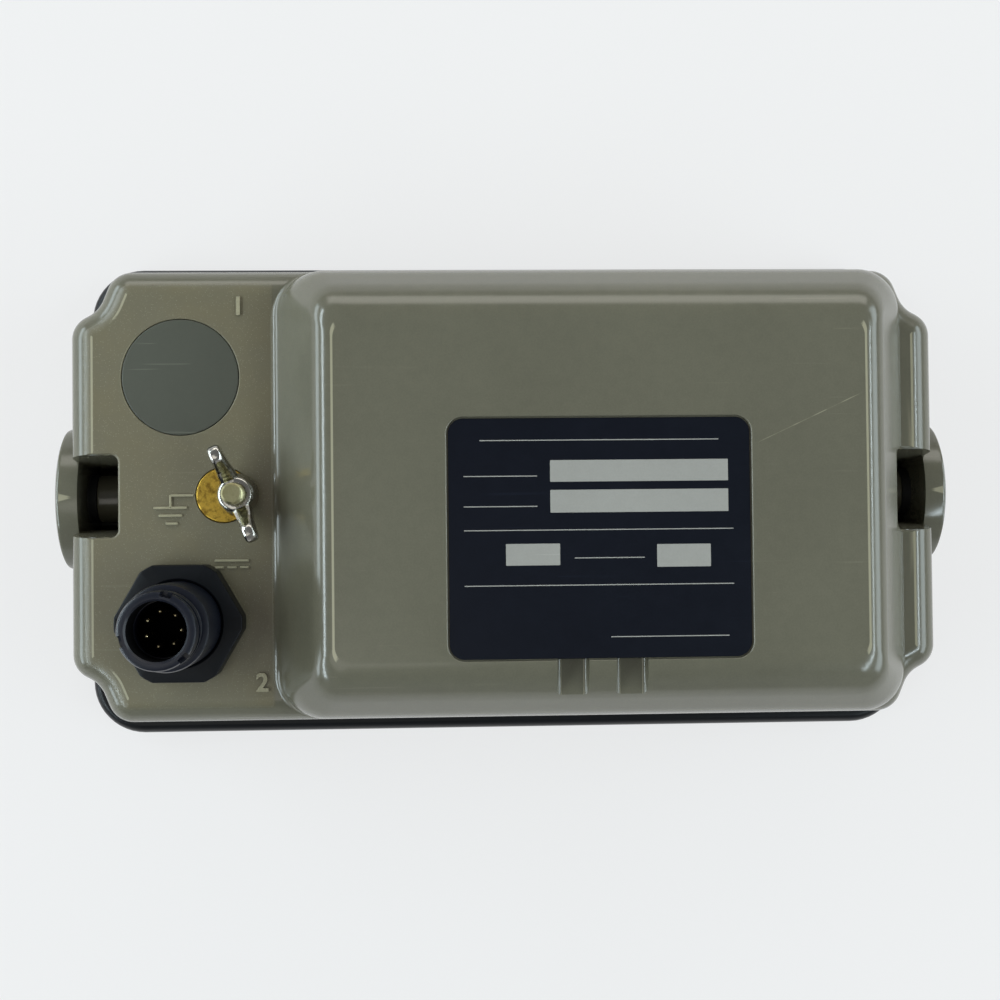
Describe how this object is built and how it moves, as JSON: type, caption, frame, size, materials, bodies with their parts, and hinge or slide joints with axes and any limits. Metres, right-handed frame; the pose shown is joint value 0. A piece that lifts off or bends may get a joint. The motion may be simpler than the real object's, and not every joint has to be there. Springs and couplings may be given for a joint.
{
  "type": "satellite compass display unit",
  "caption": "Marine display unit: stepped rear cover, front frame with screen and keys, side bracket bosses, round connector and earth terminal with wing nut.",
  "frame": {"origin": "centre of the unit's outline, on the surface that its front rim rests on", "axes": "+Z from the front rim to the back of the unit, +X to the right and +Y up as seen from behind"},
  "size_m": [0.177, 0.0996, 0.0732],
  "materials": {
    "cover_paint": "fine satin texture",
    "frame_black": "satin",
    "port_grey": "satin",
    "key_grey": "matte",
    "connector_navy": "satin",
    "insert_grey": "matte",
    "contact_gold": "bright",
    "label_dark": "satin print",
    "window_glass": "clear",
    "brass": "satin",
    "steel": "satin",
    "seal_rubber": "matte",
    "board_green": "solder mask",
    "part_black": "moulded",
    "white_plastic": "moulded"
  },
  "bodies": {
    "unit": {"front_frame": "frame_black", "case_gasket": "seal_rubber", "case_screws": "steel", "screw_caps": "frame_black", "window_seal": "seal_rubber", "display_window": "window_glass", "lcd_frame": "steel", "lcd_glass": "window_glass", "lcd_backlight": "white_plastic", "lcd_screws": "steel", "keypad_mat": "seal_rubber", "keypad_board": "board_green", "key_switches": "steel", "keypad_screws": "steel", "main_board": "board_green", "main_board_spacers": "brass", "main_board_screws": "steel", "main_board_chips": "part_black", "shield_can": "steel", "backup_battery": "steel", "power_board": "board_green", "power_board_screws": "steel", "power_board_parts": "part_black", "link_cable": "white_plastic", "io_board": "board_green", "io_board_posts": "brass", "io_board_screws": "steel", "io_board_parts": "part_black", "buzzer": "part_black", "harness": "seal_rubber", "harness_plug": "white_plastic", "rear_cover": "cover_paint", "left_bracket_insert": "brass", "right_bracket_insert": "brass", "port_blank": "port_grey", "label_plate": "label_dark", "earth_plate": "brass", "earth_stud": "steel", "earth_inner_nut": "steel", "earth_strap": "brass", "connector_body": "connector_navy", "connector_seal": "seal_rubber", "connector_nut": "connector_navy", "connector_insert": "insert_grey", "connector_pins": "contact_gold"},
    "up_key": {"up_key": "key_grey"},
    "down_key": {"down_key": "key_grey"},
    "left_key": {"left_key": "key_grey"},
    "right_key": {"right_key": "key_grey"},
    "enter_key": {"enter_key": "key_grey"},
    "menu_key": {"menu_key": "key_grey"},
    "display_key": {"display_key": "key_grey"},
    "power_key": {"power_key": "key_grey"},
    "lock_washer": {"lock_washer": "steel"},
    "wing_nut": {"wing_nut": "steel"}
  },
  "joints": [
    {"name": "up_key_press", "type": "slide", "parent": "unit", "child": "up_key", "axis": [0, 0, 1], "range_m": [0, 0.0008], "stiffness_N_per_m": 800, "springref_m": -0.001},
    {"name": "down_key_press", "type": "slide", "parent": "unit", "child": "down_key", "axis": [0, 0, 1], "range_m": [0, 0.0008], "stiffness_N_per_m": 800, "springref_m": -0.001},
    {"name": "left_key_press", "type": "slide", "parent": "unit", "child": "left_key", "axis": [0, 0, 1], "range_m": [0, 0.0008], "stiffness_N_per_m": 800, "springref_m": -0.001},
    {"name": "right_key_press", "type": "slide", "parent": "unit", "child": "right_key", "axis": [0, 0, 1], "range_m": [0, 0.0008], "stiffness_N_per_m": 800, "springref_m": -0.001},
    {"name": "enter_key_press", "type": "slide", "parent": "unit", "child": "enter_key", "axis": [0, 0, 1], "range_m": [0, 0.0008], "stiffness_N_per_m": 800, "springref_m": -0.001},
    {"name": "menu_key_press", "type": "slide", "parent": "unit", "child": "menu_key", "axis": [0, 0, 1], "range_m": [0, 0.0008], "stiffness_N_per_m": 800, "springref_m": -0.001},
    {"name": "display_key_press", "type": "slide", "parent": "unit", "child": "display_key", "axis": [0, 0, 1], "range_m": [0, 0.0008], "stiffness_N_per_m": 800, "springref_m": -0.001},
    {"name": "power_key_press", "type": "slide", "parent": "unit", "child": "power_key", "axis": [0, 0, 1], "range_m": [0, 0.0008], "stiffness_N_per_m": 800, "springref_m": -0.001},
    {"name": "lock_washer_rise", "type": "slide", "parent": "unit", "child": "lock_washer", "axis": [0, 0, 1], "range_m": [0, 0.00215]},
    {"name": "wing_nut_turn", "type": "hinge", "parent": "lock_washer", "child": "wing_nut", "pos_m": [-0.052, 0, 0.0465], "axis": [0, 0, 1], "range_deg": [0, 1080]}
  ],
  "couplings": [
    {"joint": "lock_washer_rise", "follows": "wing_nut_turn", "m_per_rad": 0.00011141}
  ]
}
